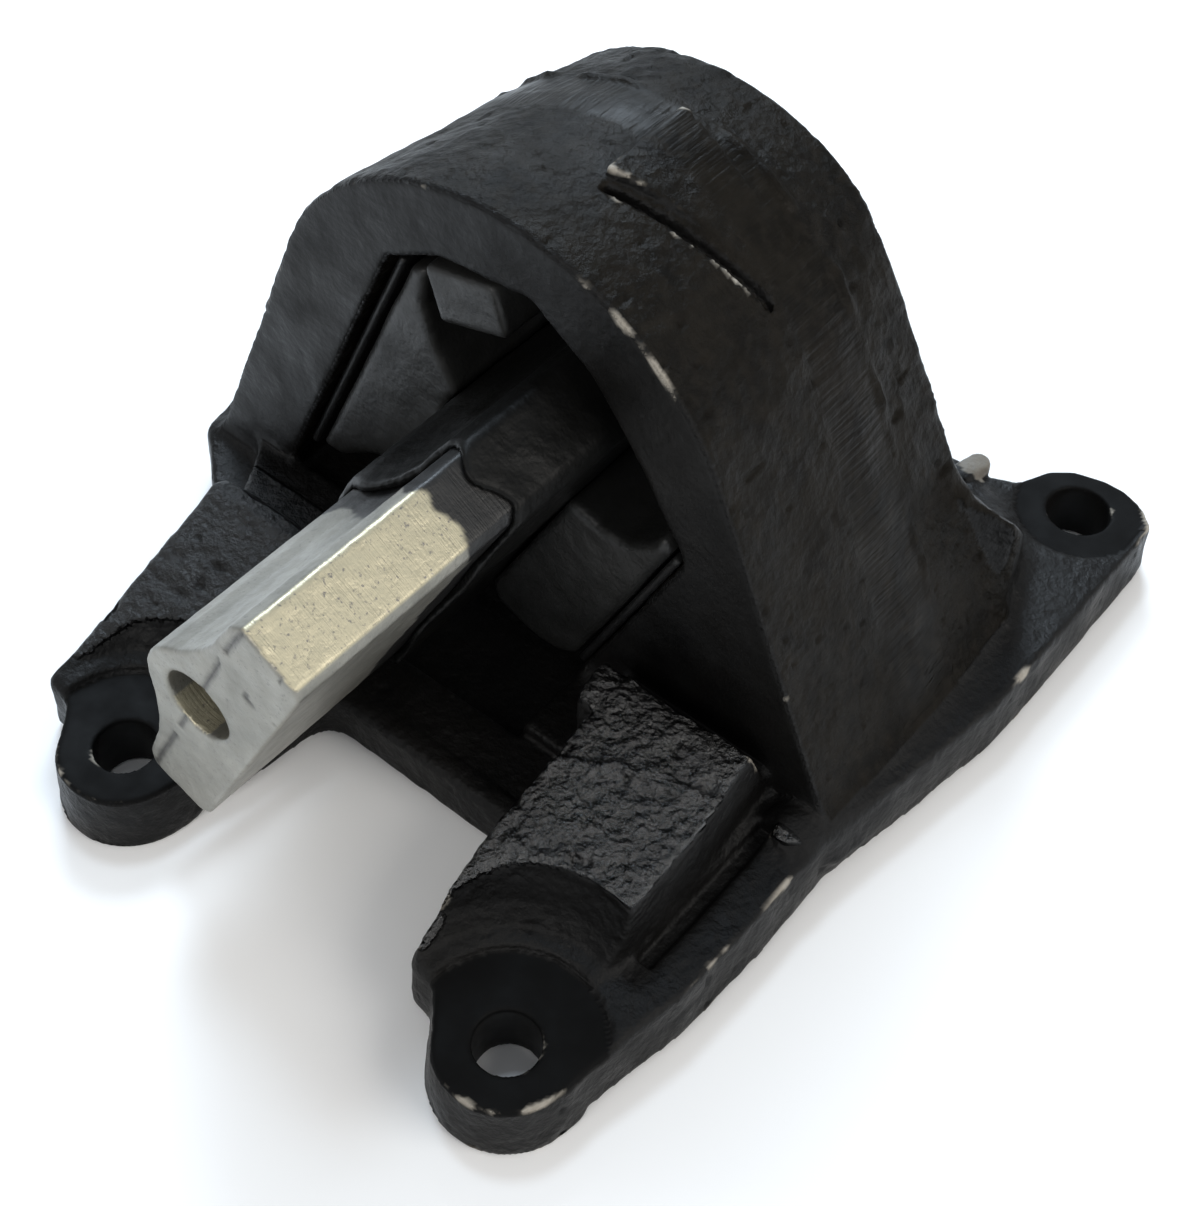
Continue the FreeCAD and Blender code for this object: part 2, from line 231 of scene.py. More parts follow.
def mesh_object(name, points, quads, attributes=None):
    """Smooth-shaded mesh in metres from points in mm."""
    me = bpy.data.meshes.new(name)
    me.vertices.add(len(points))
    me.vertices.foreach_set("co", (np.asarray(points) * MM).astype(np.float32).ravel())
    me.loops.add(quads.size)
    me.loops.foreach_set("vertex_index", quads.astype(np.int32).ravel())
    me.polygons.add(len(quads))
    me.polygons.foreach_set("loop_start", (np.arange(len(quads)) * 4).astype(np.int32))
    me.polygons.foreach_set("use_smooth", np.ones(len(quads), bool))
    me.update(calc_edges=True)
    me.validate()
    for key, values in (attributes or {}).items():
        layer = me.attributes.new(key, "FLOAT", "POINT")
        layer.data.foreach_set("value", np.asarray(values, np.float32))
    ob = bpy.data.objects.new(name, me)
    bpy.context.scene.collection.objects.link(ob)
    return ob


def skin(f, lo, h):
    """Surface of a field, moved onto its exact zero level, with normals."""
    p, quads = net(f, lo, h)
    for _ in range(2):
        n = gradient(f, lo, h, p, h * 0.6)
        p = p - n * np.clip(sample(f, lo, h, p), -h, h)[:, None]
    return p, quads, gradient(f, lo, h, p)


def bend_out(f, lo, h, p, step):
    """How convex the surface is at p: above 0 on outer edges, below 0 in corners."""
    total = np.zeros(len(p), np.float32)
    for k in range(3):
        e = np.zeros(3)
        e[k] = step
        total += sample(f, lo, h, p + e) + sample(f, lo, h, p - e)
    return total / 6 - sample(f, lo, h, p)


def tilted(x, z, angle):
    """Coordinates across and along a section that leans right by angle."""
    c, s = math.cos(angle), math.sin(angle)
    return x * c - (z - CORE_Z) * s, x * s + (z - CORE_Z) * c


# ------------------------------------------------------------------ bracket casting
LEG_EDGE = [(71.8, 9, 5), (74.6, 23, 12), (75.5, 42, 12), (75.1, 62, 10), (79.1, 84, 20), (82.2, 104, 16),
            (82.5, 128, 10), (82.5, 155.5, 4), (82.0, 160.2, 3.5), (78.4, 163.6, 3), (73.6, 165.2, 3),
            (69.3, 165.2, 3), (63.4, 163.5, 3), (59.6, 160.3, 3), (57.6, 156, 2.5), (56, 153.2, 2),
            (51.5, 151, 4)]
REAR_EDGE = [(40, 151.3, 6), (0, 150.8), (-40, 151.3, 6)]
LEFT_REAR = [(-x, y, r) for x, y, r in reversed(LEG_EDGE[4:])]
RIGHT_FRONT = [(38.0, 0.8, 2.5), (43.6, 0.0, 3), (47.6, -4.6, 1), (58.6, -3), (70, -1, 3)]
LEFT_FRONT = [(-73.2, 62, 4), (-62, 52.5, 8), (-48.4, 43, 5), (-48.4, 1.0, 2), (-42.8, 0.0, 3),
              (-38.6, -4.4, 1), (-27.8, -3), (-16.4, -1, 3), (-13.5, 12, 12), (-11.8, 31.8, 8),
              (37.6, 31.8, 2)]
PLATE_PLAN = RIGHT_FRONT + LEG_EDGE + REAR_EDGE + LEFT_REAR + LEFT_FRONT
PLATE_DRAFT = 0.09           # widening of the plate toward its underside
WINDOW = [(-32.5, -60), (-32.5, 22, 2), (-25, 32, 4), (-9, 41.2, 4), (5, 39.2, 5), (20, 31.6, 5),
          (34.5, 22, 4), (34.5, -22, 3), (34.5, -42)]

# arch outlines: centre x and z and radius of the crown, then the feet of the left and right sides
FRONT_ARCH = (1.5, 53.8, 49.4, -74.0, 77.0)
REAR_ARCH = (4.5, 58.5, 43.6, -73.0, 76.6)
REAR_FACE, REAR_LEAN, CROWN_DEEPER = 121.0, 0.085, 2.6

# plan outlines of the leg pads, and their height along y
RIGHT_PAD = [(38.1, 1.2, 2), (37.3, 18), (36.6, 30), (31.5, 53, 4), (31.0, 65), (61.4, 65), (62.6, 52, 3),
             (64.2, 40), (64.2, 24, 5), (58, 1.2)]
LEFT_PAD = [(-48.3, 1.2, 2), (-48.3, 46, 2), (-54, 56, 6), (-60, 64), (-22.0, 64), (-22.0, 44, 4),
            (-21.5, 24, 5), (-28, 1.2)]
RIGHT_RISE = ([-6, 1, 6, 12, 21, 53, 56, 61, 70], [12.6, 14.8, 19, 22.4, 26.4, 30.4, 29.6, 18.5, 17])
LEFT_RISE = ([-6, 1, 13, 26, 42, 45, 51, 70], [11, 12.7, 17.2, 22.2, 29.2, 28.6, 19, 17])
PAD_RIDGE = [(38, 35), (44, 39), (51, 43), (59, 44)]

RIB = [(50, 116), (62, 116), (71.5, 121.5, 3), (69.3, 129.5, 3), (67, 136, 3), (63.6, 138.5, 3),
       (60.6, 142, 3), (57.6, 145, 2), (53, 147.3, 2), (50, 147, 2)]
RIB_RISE = ([114, 120, 130, 141, 150], [44, 38, 26, 15, 10])
CROWN_PAD = [(9, 80.5, 0.6), (36, 88.5, 2), (39.5, 92.0, 2), (24, 97, 4), (8.5, 100.5, 1)]
SUNK_PLAN = [(21, 46), (21, 150), (-34, 150), (-34, 62), (-24, 52), (-20, 46)]
SUNK_FLOOR, STEP_FLOOR, RIDGE_TOP, TRENCH_FLOOR = 7.0, 10.2, 9.8, 11.0

# hollow round a front bolt seat, as radius and height
SEAT_HOLLOW = [(0, 11.8), (15.9, 11.8), (16.3, 13.0), (19.2, 13.8), (21.6, 17.5), (23.2, 24), (23.6, 60),
               (0, 60)]
FRONT_BOLT, REAR_BOLT, REAR_SEAT = 5.5, 6.1, 12.6
RELIEF, FOOT_BOSS = 1.5, 13.4


def arch_outline(cx, cz, radius, left, right, low=6.0):
    """Crown circle with a straight side running tangent from it to each bottom corner."""
    ends = []
    for half in (right - cx, cx - left):
        reach = math.hypot(half, low - cz)
        ends.append(math.atan2(low - cz, half) + math.acos(radius / reach))
    turn = np.linspace(ends[0], math.pi - ends[1], 40)
    crown = [(cx + radius * math.cos(s), cz + radius * math.sin(s)) for s in turn]
    return crown + [(left, low), (right, low)]


def path(px, py, pts):
    """Distance to an open line through the points."""
    d = np.full(np.broadcast(px, py).shape, 1e9, np.float32)
    for a, b in zip(np.asarray(pts[:-1], float), np.asarray(pts[1:], float)):
        (ex, ey), wx, wy = b - a, px - a[0], py - a[1]
        t = np.clip((wx * ex + wy * ey) / (ex * ex + ey * ey), 0, 1)
        d = np.minimum(d, (wx - ex * t) ** 2 + (wy - ey * t) ** 2)
    return np.sqrt(d)


def plate_and_lobes(x, y, z):
    """Base plate with draft on its sides, and the two front foot lobes."""
    plan = polygon(x, y, rounded(PLATE_PLAN))
    f = prism(plan + (z - PLATE) * PLATE_DRAFT, z - PLATE, 0.9)
    for hx in (HOLE_R, HOLE_L):
        r = np.hypot(x - hx, y)
        f = smin(f, prism(r - 13.1 + z * 0.115, z - (PLATE - 0.3), 0.7), 1.4)
    return f


def open_arch(x, y, z):
    """Arch that changes from its front to its rear outline, with the window cut through."""
    front = polygon(x, z, arch_outline(*FRONT_ARCH))
    rear = polygon(x, z, arch_outline(*REAR_ARCH))
    late = np.clip((y - ARCH_Y) / 50, 0, 1)
    swell = 0.034 * (np.clip(y, ARCH_Y, PARTING_Y) - ARCH_Y) - 0.06 * (np.clip(y, PARTING_Y, 140) - PARTING_Y)
    lean = REAR_FACE - REAR_LEAN * (z - PLATE) + CROWN_DEEPER * ramp(z, 78, 98)
    arch = prism(front * (1 - late) + rear * late - swell, np.maximum(ARCH_Y - y, y - lean), 0.9)
    u, v = tilted(x, z, WINDOW_TILT)
    window = np.maximum(polygon(u, v, rounded(WINDOW)), 7.0 - z)
    return smax(arch, -window, 1.6)


def add_leg_pads(f, x, y, z):
    """Pads rising along the legs to the arch, the ridge on the right one and the blob beside it."""
    right_top = np.interp(y, *RIGHT_RISE)
    left_top = np.interp(y, *LEFT_RISE)
    plan_r = polygon(x, y, rounded(RIGHT_PAD))
    plan_l = polygon(x, y, rounded(LEFT_PAD))
    f = smin(f, prism(plan_r, np.maximum((z - right_top) * 0.9, 2 - z), 1.1), 2.4)
    f = smin(f, prism(plan_l, np.maximum((z - left_top) * 0.9, 2 - z), 1.1), 2.4)
    seam = path(x, y, PAD_RIDGE)
    f = smin(f, np.maximum(seam - 1.1, np.abs(z - right_top + 0.6) - 1.3), 1.2)
    return smin(f, np.sqrt((x - 69.5) ** 2 + (y - 58.5) ** 2 + (z - 11.5) ** 2) - 4.4, 4.0)


def add_gussets(f, x, y, z):
    """Gussets behind the arch, and a lug stub beside the right one."""
    rib_top = np.interp(y, *RIB_RISE)
    for side in (1, -1):
        rib = prism(polygon(side * x, y, rounded(RIB)), np.maximum((z - rib_top) * 0.6, 2 - z), 1.5)
        f = smin(f, rib, 5.0)
    lug = path(x, y, [(47.5, 147), (48.6, 151.3)]) - 2.3
    return smin(f, prism(lug, slab(z, 6, 15.0), 0.9), 1.0)


def add_crown_pad(f, x, y, z):
    """Tapered pad across the crown, right of the middle, with a groove along its front."""
    crown = np.hypot(x - 3.0, z - 53.8)
    along = (x - 9) / 28
    top = crown - 51.6 + 2.8 * np.clip(along, 0, 1)
    pad = prism(polygon(x, y, rounded(CROWN_PAD)), np.maximum(top, 40 - crown), 0.5)
    f = smin(f, pad, 0.5)
    line = path(x, y, [(10.5, 79.0), (24, 82.6), (36, 86.8)])
    return smax(f, -np.maximum(line - 0.8, np.abs(crown - 49.6) - 2.2), 0.4)


def cut_floors(f, x, y, z):
    """Sunk floor, the lowered bridge in front of it and the trench beside the right pad."""
    floor = prism(polygon(x, y, SUNK_PLAN), slab(z, SUNK_FLOOR, 25.0), 0)
    f = smax(f, -floor, 2.0)
    step = prism(np.maximum(slab(x, -11, 36.5), slab(y, 20, 38.5)), slab(z, STEP_FLOOR, 40), 0)
    f = smax(f, -step, 2.0)
    f = smax(f, -prism(np.maximum(slab(x, -11, 36.5), slab(y, 36, 47)), slab(z, RIDGE_TOP, 40), 0), 1.0)
    trench = prism(np.maximum(slab(x, 64.8, 67.6), slab(y, 24, 57)), slab(z, TRENCH_FLOOR, 40), 0)
    return smax(f, -trench, 1.2)


def cut_bolt_seats(f, x, y, z):
    """Spot faces with the terrace and hollow wall round them, the holes and the relief below."""
    for hx in (HOLE_R, HOLE_L):
        r = np.hypot(x - hx, y)
        f = smax(f, -polygon(r, z, SEAT_HOLLOW), 0.8)
        f = smax(f, -(r - FRONT_BOLT), 0.4)
    r_rear = np.hypot(np.abs(x) - REAR_X, y - REAR_Y)
    f = smax(f, -prism(r_rear - REAR_SEAT, slab(z, 12.3, 20)), 0.4)
    f = smax(f, -(r_rear - REAR_BOLT), 0.4)
    foot = np.minimum(np.minimum(np.hypot(x - HOLE_R, y), np.hypot(x - HOLE_L, y)), r_rear)
    f = smax(f, -np.maximum(z - RELIEF, FOOT_BOSS - foot), 0.3)
    return smax(f, -z, 0.3)


def bracket_field(lo, hi, h):
    """Field of the whole casting."""
    x, y, z = grid(lo, hi, h)
    f = smin(plate_and_lobes(x, y, z), open_arch(x, y, z), 4.0)
    f = add_leg_pads(f, x, y, z)
    f = add_gussets(f, x, y, z)
    f = add_crown_pad(f, x, y, z)
    f = cut_floors(f, x, y, z)
    f = cut_bolt_seats(f, x, y, z)
    return np.ascontiguousarray(np.broadcast_to(f, (x.size, y.size, z.size)), dtype=np.float32)


# places where the paint is knocked off the edges
CHIPPED = ((61, -11.5, 10), (69, -4.5, 10), (74.8, 30, 12), (75.4, 48, 12), (82, 112, 12), (62, 63, 66),
           (71, 63, 40), (80.5, 161, 12), (69.5, 57.5, 15), (-29, -11.5, 10), (14, 80.5, 104.5),
           (22, 83, 102), (31, 86, 97), (27, 63, 96), (34, 63, 91))
CHIP_REACH = 11


def build_bracket():
    """Casting with its surface grain, and the masks its paint is driven by."""
    h = 0.62
    lo, hi = (-86.0, -15.6, -2.0), (86.5, 169.0, 109.0)
    f = bracket_field(lo, hi, h)
    p, quads, n = skin(f, lo, h)
    edge = bend_out(f, lo, h, p, 1.6)
    x, y, z = p.T
    r_spot = np.minimum(np.hypot(x - HOLE_R, y), np.hypot(x - HOLE_L, y))
    r_rear = np.minimum(np.hypot(x - REAR_X, y - REAR_Y), np.hypot(x + REAR_X, y - REAR_Y))
    flat = ((r_spot < 15.6) & (z < 12.4) & (z > 11)) | ((r_rear < 12.2) & (z > 11.5)) | (z < 0.6)
    under = z < 0.5
    bore = (r_spot < 6.3) | (r_rear < 6.9)
    face = (n[:, 1] < -0.8) & (np.abs(y - ARCH_Y) < 2.0)
    band = ramp(y, 90.5 - 0.06 * np.abs(x), 92 - 0.06 * np.abs(x)) * (1 - ramp(y, 100.5, 102))
    band = band * (n[:, 2] > -0.5)
    outer = (np.abs(n[:, 1]) < 0.55) & (y > 64) & (y < 123) & (z > 14)
    on_pad = (y < 57) & (z > 14.5) & (n[:, 2] > 0.6)
    grain = np.full(len(p), 0.30)
    grain[face] = 0.09
    grain[on_pad] = 0.8
    grain[outer] = 0.36
    grain = grain * (1 - 0.75 * band * outer)
    grain = grain * (1 + 0.5 * outer * ramp(y, 103, 105))
    grain[flat | bore] = 0.02
    bumps = 0.55 * noise(p, 2.6, 1) + 0.45 * noise(p, 1.7, 2)
    pits = -1.6 * ramp(noise(p, 2.2, 3), 0.55, 0.95)
    swell = 0.35 * noise(p, 17, 4) + 0.2 * noise(p, 8, 5)
    keep = np.where(flat | under | bore, 0.0, 1.0)
    flash = 0.8 * np.exp(-((y - 102.3 - 0.8 * noise(p, 4, 6)) / 0.8) ** 2) * outer
    flash = flash * ramp(noise(p, 6, 10), -0.5, 0.3)
    move = grain * (bumps + pits) * 0.75 + keep * (swell * np.where(outer, 1.0, 0.6) + flash)
    p = p + n * move[:, None]
    p[:, 2] = np.maximum(p[:, 2], 0.0)
    lo_box, hi_box = [np.array(c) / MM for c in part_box("bracket_casting")]
    p = np.clip(p, lo_box + 0.02, hi_box - 0.02)
    chips = noise(p, 3.1, 7) + 0.6 * noise(p, 1.3, 8)
    spot = np.zeros(len(p))
    for place in CHIPPED:
        spot = np.maximum(spot, 1 - np.linalg.norm(p - np.array(place), axis=1) / CHIP_REACH)
    wear = ramp(edge + 0.13 * chips + 0.24 * np.clip(spot, 0, 1), 0.50, 0.62)
    hidden = (x > -52) & (x < 37) & (z < 30) & (y > 12)
    wear[hidden] = 0
    lug = (np.hypot(x - 48.3, y - 151) < 4) & (z > 12.9)
    wear[lug] = 0.55
    return mesh_object("bracket_shell", p, quads, {
        "wear": wear, "grain": grain, "gloss": on_pad * np.where(x > 0, 1.0, 0.3),
        "flat": flat * 1.0, "band": band * outer,
        "side": outer * 1.0})


bracket = build_bracket()

# ------------------------------------------------------------------ core bar
HALF_BAR = [(-11.0, 0), (-10.7, 2.7), (-9.4, 5.7), (-7.2, 9.2), (-5.9, 12), (-4.4, 15.8), (-3.2, 20.7),
            (-2.9, 26), (-2.5, 29.8, 1.2), (-0.8, 32.6, 1.2), (10.3, 31.5, 1.2), (11.7, 29.8, 1)]
BORE = 6.5
BAR_FRONT, BAR_REAR = -2.5, 116.3
SLEEVE_FRONT, SLEEVE_REAR, SLEEVE_THICK = 40.0, 114.8, 1.5
BAR = HALF_BAR + [(c[0], -c[1]) + tuple(c[2:]) for c in reversed(HALF_BAR[1:])]


def place_core(p):
    """From bar axes (across, along, up the section) to the frame of the part."""
    c, s = math.cos(CORE_TILT), math.sin(CORE_TILT)
    return np.stack([p[:, 0] * c + p[:, 2] * s, p[:, 1], CORE_Z - p[:, 0] * s + p[:, 2] * c], 1)


def build_core():
    """Metal bar with a seam and pits in its front end; the rear part is painted."""
    h = 0.5
    lo, hi = (-13.5, -4.6, -35.5), (14.5, 119.0, 35.5)
    u, y, v = grid(lo, hi, h)
    d2 = polygon(u, v, rounded(BAR))
    f = prism(d2, slab(y, BAR_FRONT, BAR_REAR), 0.45)
    f = smax(f, -(np.hypot(u, v) - BORE), 0.5)
    f = np.ascontiguousarray(np.broadcast_to(f, (u.size, y.size, v.size)), dtype=np.float32)
    p, quads, n = skin(f, lo, h)
    end = n[:, 1] < -0.8
    seam_line = -0.6 + 0.35 * noise(p * np.array([0, 0, 1.0]), 6, 20) + 0.15 * noise(p, 1.5, 21)
    seam = np.exp(-((p[:, 0] - seam_line) / 0.55) ** 2) * end * (noise(p, 5, 22) > -0.5)
    pit = ramp(noise(p, 1.5, 23), 0.72, 0.9) * ramp(noise(p, 7, 24), 0.1, 0.4) * end
    move = 0.05 * noise(p, 2.0, 25) - 0.22 * seam - 0.3 * pit
    p = p + n * move[:, None]
    paint_edge = p[:, 1] + 2.6 * noise(p * np.array([1, 0, 1.0]), 6, 26) + 1.2 * noise(p, 2.2, 27)
    painted = ramp(paint_edge, 32.6, 33.4)
    dark = np.clip(seam * 0.9 + pit, 0, 1)
    # the top mask picks the up-facing flat of the bar, which the material brushes and lightens as a painted
    # highlight
    return mesh_object("core_body", place_core(p), quads, {
        "painted": painted, "dark": dark, "end": end * 1.0, "top": (n[:, 2] > 0.8) * 1.0})


core = build_core()


def build_sleeve():
    """Thin rubber skin round the rear of the bar, with a wavy front edge."""
    h = 0.6
    lo, hi = (-15.5, 34.0, -37.5), (16.5, 118.0, 37.5)
    u, y, v = grid(lo, hi, h)
    d2 = polygon(u, v, rounded(BAR))
    front = SLEEVE_FRONT - 1.5 * np.sin(u * 0.5) + 1.2 * np.sin(v * 0.23 + 1)
    f = prism(d2 - SLEEVE_THICK - 0.3 * np.sin(v * 0.15), np.maximum(front - y, y - SLEEVE_REAR), 0.9)
    f = np.maximum(f, -(d2 - 0.03))
    f = np.ascontiguousarray(np.broadcast_to(f, (u.size, y.size, v.size)), dtype=np.float32)
    p, quads, n = skin(f, lo, h)
    p = p + n * (0.12 * noise(p, 5, 30) + 0.08 * noise(p, 2, 31))[:, None]
    return mesh_object("core_skin", place_core(p), quads)


sleeve = build_sleeve()


# ------------------------------------------------------------------ rubber legs, liners and stop
def window_block(name, front, outline, seat=True, h=0.8, rough=0.15, seed=40, edge=1.4):
    """Rubber block in the window, in the frame of the part."""
    h = h
    pts = np.array([c[:2] for c in outline], float)
    c, s = math.cos(WINDOW_TILT), math.sin(WINDOW_TILT)
    xs, zs = pts[:, 0] * c + pts[:, 1] * s, CORE_Z - pts[:, 0] * s + pts[:, 1] * c
    lo = (xs.min() - 3, front - 4, zs.min() - 3)
    hi = (xs.max() + 3, RUBBER_REAR + 3, zs.max() + 3)
    x, y, z = grid(lo, hi, h)
    u, v = tilted(x, z, WINDOW_TILT)
    f = prism(polygon(u, v, rounded(outline)), slab(y, front, RUBBER_REAR), edge)
    if seat:
        cu, cv = tilted(x, z, CORE_TILT)
        f = smax(f, -(polygon(cu, cv, rounded(BAR)) - 1.9), 0.6)
    f = np.ascontiguousarray(np.broadcast_to(f, (x.size, y.size, z.size)), dtype=np.float32)
    p, quads, n = skin(f, lo, h)
    move = rough * (noise(p, 9, seed) + 0.4 * noise(p, 3, seed + 1))
    return mesh_object(name, p + n * move[:, None], quads)


left_leg = window_block("rubber_left_block", 66.0, [
    (-29.8, -42), (-29.8, 20.2), (-27, 23.2, 3), (-24.5, 15, 3), (-18.5, 8.5, 6), (-11, 3, 4), (-6, -2),
    (-4, -20), (-12, -24, 5), (-20, -31.5, 6), (-25, -40, 3)])
right_leg = window_block("rubber_right_block", 63.6, [
    (32.2, -24), (32.2, 20.2), (29.5, 22.5, 2), (28.5, 18, 4), (25, 12.8, 5), (20, 10.8, 4), (11, 10),
    (11, -26), (15, -31, 4), (25, -30, 6), (30, -27.5, 3)])
liner_left = window_block("liner_left_plate", 66.0, [
    (-32.3, -43.8), (-30.7, -43.8), (-30.7, 20.3), (-32.3, 20.3)], seat=False, h=0.5, rough=0.03, edge=0.3)
liner_right = window_block("liner_right_plate", 63.8, [
    (32.7, -23.8), (34.3, -23.8), (34.3, 20.3), (32.7, 20.3)], seat=False, h=0.5, rough=0.03, edge=0.3)


STOP_X, STOP_Z, STOP_TILT = -3.6, 81.8, math.radians(17)


def build_stop():
    """Bump stop under the crown of the window."""
    h = 0.6
    a, b = [np.array(c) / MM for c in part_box("stop_block")]
    lo, hi = a - 2, b + 2
    x, y, z = grid(lo, hi, h)
    c, s = math.cos(STOP_TILT), math.sin(STOP_TILT)
    u, v = (x - STOP_X) * c + (z - STOP_Z) * s, -(x - STOP_X) * s + (z - STOP_Z) * c
    f = prism(polygon(u, v, rounded([(-7.4, -4.4, 1.2), (7.4, -4.4, 1.2), (7.4, 5, 1.2), (-7.4, 6.2, 1.2)])),
              slab(y, 63.1, 80.9), 1.0)
    f = np.ascontiguousarray(np.broadcast_to(f, (x.size, y.size, z.size)), dtype=np.float32)
    p, quads, n = skin(f, lo, h)
    return mesh_object("stop_rubber", p + n * (0.12 * noise(p, 4, 60))[:, None], quads)


stop = build_stop()


# ------------------------------------------------------------------ materials
class Shader:
    """Small helper round a node tree."""

    def __init__(self, name):
        self.mat = bpy.data.materials.new(name)
        self.mat.use_nodes = True
        self.tree = self.mat.node_tree
        self.bsdf = self.tree.nodes["Principled BSDF"]
        self.coords = self.tree.nodes.new("ShaderNodeTexCoord").outputs["Object"]

    def link(self, a, b):
        self.tree.links.new(a, b)

    def noise(self, size_mm, detail=4.0, rough=0.55, stretch=None):
        node = self.tree.nodes.new("ShaderNodeTexNoise")
        node.inputs["Scale"].default_value = 1000.0 / size_mm
        node.inputs["Detail"].default_value = detail
        node.inputs["Roughness"].default_value = rough
        if stretch:
            mapping = self.tree.nodes.new("ShaderNodeMapping")
            mapping.inputs["Scale"].default_value = stretch[:3]
            if len(stretch) > 3:
                mapping.inputs["Rotation"].default_value = (0, stretch[3], 0)
            self.link(self.coords, mapping.inputs["Vector"])
            self.link(mapping.outputs[0], node.inputs["Vector"])
        else:
            self.link(self.coords, node.inputs["Vector"])
        return node.outputs["Fac"]

    def cells(self, size_mm):
        node = self.tree.nodes.new("ShaderNodeTexVoronoi")
        node.inputs["Scale"].default_value = 1000.0 / size_mm
        self.link(self.coords, node.inputs["Vector"])
        return node.outputs["Distance"]

    def attribute(self, key):
        node = self.tree.nodes.new("ShaderNodeAttribute")
        node.attribute_name = key
        return node.outputs["Fac"]

    def spread(self, fac, a, b, low=0.0, high=1.0):
        node = self.tree.nodes.new("ShaderNodeMapRange")
        for key, value in (("From Min", a), ("From Max", b), ("To Min", low), ("To Max", high)):
            node.inputs[key].default_value = value
        self.link(fac, node.inputs["Value"])
        return node.outputs["Result"]

    def math(self, op, a, b):
        node = self.tree.nodes.new("ShaderNodeMath")
        node.operation = op
        for k, item in enumerate((a, b)):
            if isinstance(item, (int, float)):
                node.inputs[k].default_value = item
            else:
                self.link(item, node.inputs[k])
        return node.outputs[0]

    def mix(self, fac, a, b):
        node = self.tree.nodes.new("ShaderNodeMix")
        node.data_type = "RGBA"
        self.link(fac, node.inputs["Factor"])
        for key, item in (("A", a), ("B", b)):
            socket = [s for s in node.inputs if s.name == key and s.type == "RGBA"][0]
            if isinstance(item, tuple):
                socket.default_value = item + (1.0,)
            else:
                self.link(item, socket)
        return [s for s in node.outputs if s.type == "RGBA"][0]

    def bump(self, heights):
        """Chain of (height, distance in mm) bumps."""
        last = None
        for height, distance in heights:
            node = self.tree.nodes.new("ShaderNodeBump")
            node.inputs["Strength"].default_value = 1.0
            node.inputs["Distance"].default_value = distance * MM
            self.link(height, node.inputs["Height"])
            if last:
                self.link(last, node.inputs["Normal"])
            last = node.outputs["Normal"]
        self.link(last, self.bsdf.inputs["Normal"])


def cast_paint():
    """Rough black paint, worn to metal on the edges and glossy on the leg pads."""
    s = Shader("black_cast_paint")
    keys = ("grain", "wear", "gloss", "flat", "band", "side")
    grain, wear, gloss, flat, band, side = [s.attribute(k) for k in keys]
    plain = s.mix(s.spread(s.noise(28, 5), 0.35, 0.65), (0.0036, 0.0035, 0.0035), (0.0062, 0.0058, 0.0054))
    brown = s.mix(s.spread(s.noise(11, 5), 0.35, 0.65), (0.0032, 0.0026, 0.0018), (0.0075, 0.0060, 0.0040))
    brown = s.mix(s.spread(s.noise(2.6, 3), 0.45, 0.75), brown, (0.011, 0.009, 0.0065))
    tone = s.mix(side, plain, brown)
    tone = s.mix(flat, tone, (0.0030, 0.0030, 0.0030))
    metal = s.mix(s.noise(2.0, 3), (0.20, 0.175, 0.14), (0.42, 0.39, 0.34))
    s.link(s.mix(wear, tone, metal), s.bsdf.inputs["Base Color"])
    rough = s.spread(s.noise(9, 5), 0.3, 0.7, 0.30, 0.58)
    rough = s.math("SUBTRACT", rough, s.math("MULTIPLY", gloss, 0.24))
    rough = s.math("ADD", rough, s.math("MULTIPLY", wear, 0.15))
    rough = s.math("ADD", rough, s.math("MULTIPLY", flat, 0.25))
    s.link(rough, s.bsdf.inputs["Roughness"])
    fine = s.math("MULTIPLY", s.noise(1.15, 6, 0.6), s.math("MULTIPLY", grain, 2.2))
    lumps = s.math("MULTIPLY", s.noise(2.4, 3, 0.5), gloss)
    dots = s.math("MULTIPLY", s.cells(1.6), grain)
    lines = s.math("MULTIPLY", s.noise(0.9, 2, 0.5, (1, 0.08, 1)), band)
    s.bump([(fine, 0.5), (lumps, 1.7), (dots, 0.45), (lines, 0.25)])
    shine = s.math("ADD", s.math("MULTIPLY", gloss, 0.80), 0.17)
    shine = s.math("SUBTRACT", shine, s.math("MULTIPLY", side, 0.09))
    s.link(s.math("SUBTRACT", shine, s.math("MULTIPLY", flat, 0.08)), s.bsdf.inputs["Specular IOR Level"])
    return s.mat


def bar_metal():
    """Sawn and brushed metal, dark where painted, with a painted highlight that lightens the brushed top
    flat.
    """
    s = Shader("bar_aluminium")
    painted, dark, end, top = [s.attribute(k) for k in ("painted", "dark", "end", "top")]
    tone = s.mix(s.spread(s.noise(7, 5), 0.3, 0.7), (0.22, 0.215, 0.19), (0.31, 0.30, 0.265))
    # painted highlight: the up-facing top flat gets a lighter, yellower colour for the light falling on it
    tone = s.mix(top, tone, (0.47, 0.43, 0.31))
    tone = s.mix(s.spread(s.noise(0.7, 2), 0.60, 0.74), tone, (0.20, 0.19, 0.175))
    tone = s.mix(dark, tone, (0.035, 0.032, 0.03))
    tone = s.mix(painted, tone, (0.0045, 0.0045, 0.0045))
    s.link(tone, s.bsdf.inputs["Base Color"])
    s.link(s.math("MULTIPLY", s.math("SUBTRACT", 1.0, painted), 0.75), s.bsdf.inputs["Metallic"])
    s.link(s.spread(s.noise(3, 4), 0.3, 0.7, 0.36, 0.52), s.bsdf.inputs["Roughness"])
    brushed = s.math("MULTIPLY", s.noise(0.5, 3, 0.6, (0.05, 1.6, 0.05)), top)
    s.bump([(s.noise(0.6, 4), 0.05), (brushed, 0.08), (s.noise(2.5, 3), 0.12)])
    return s.mat


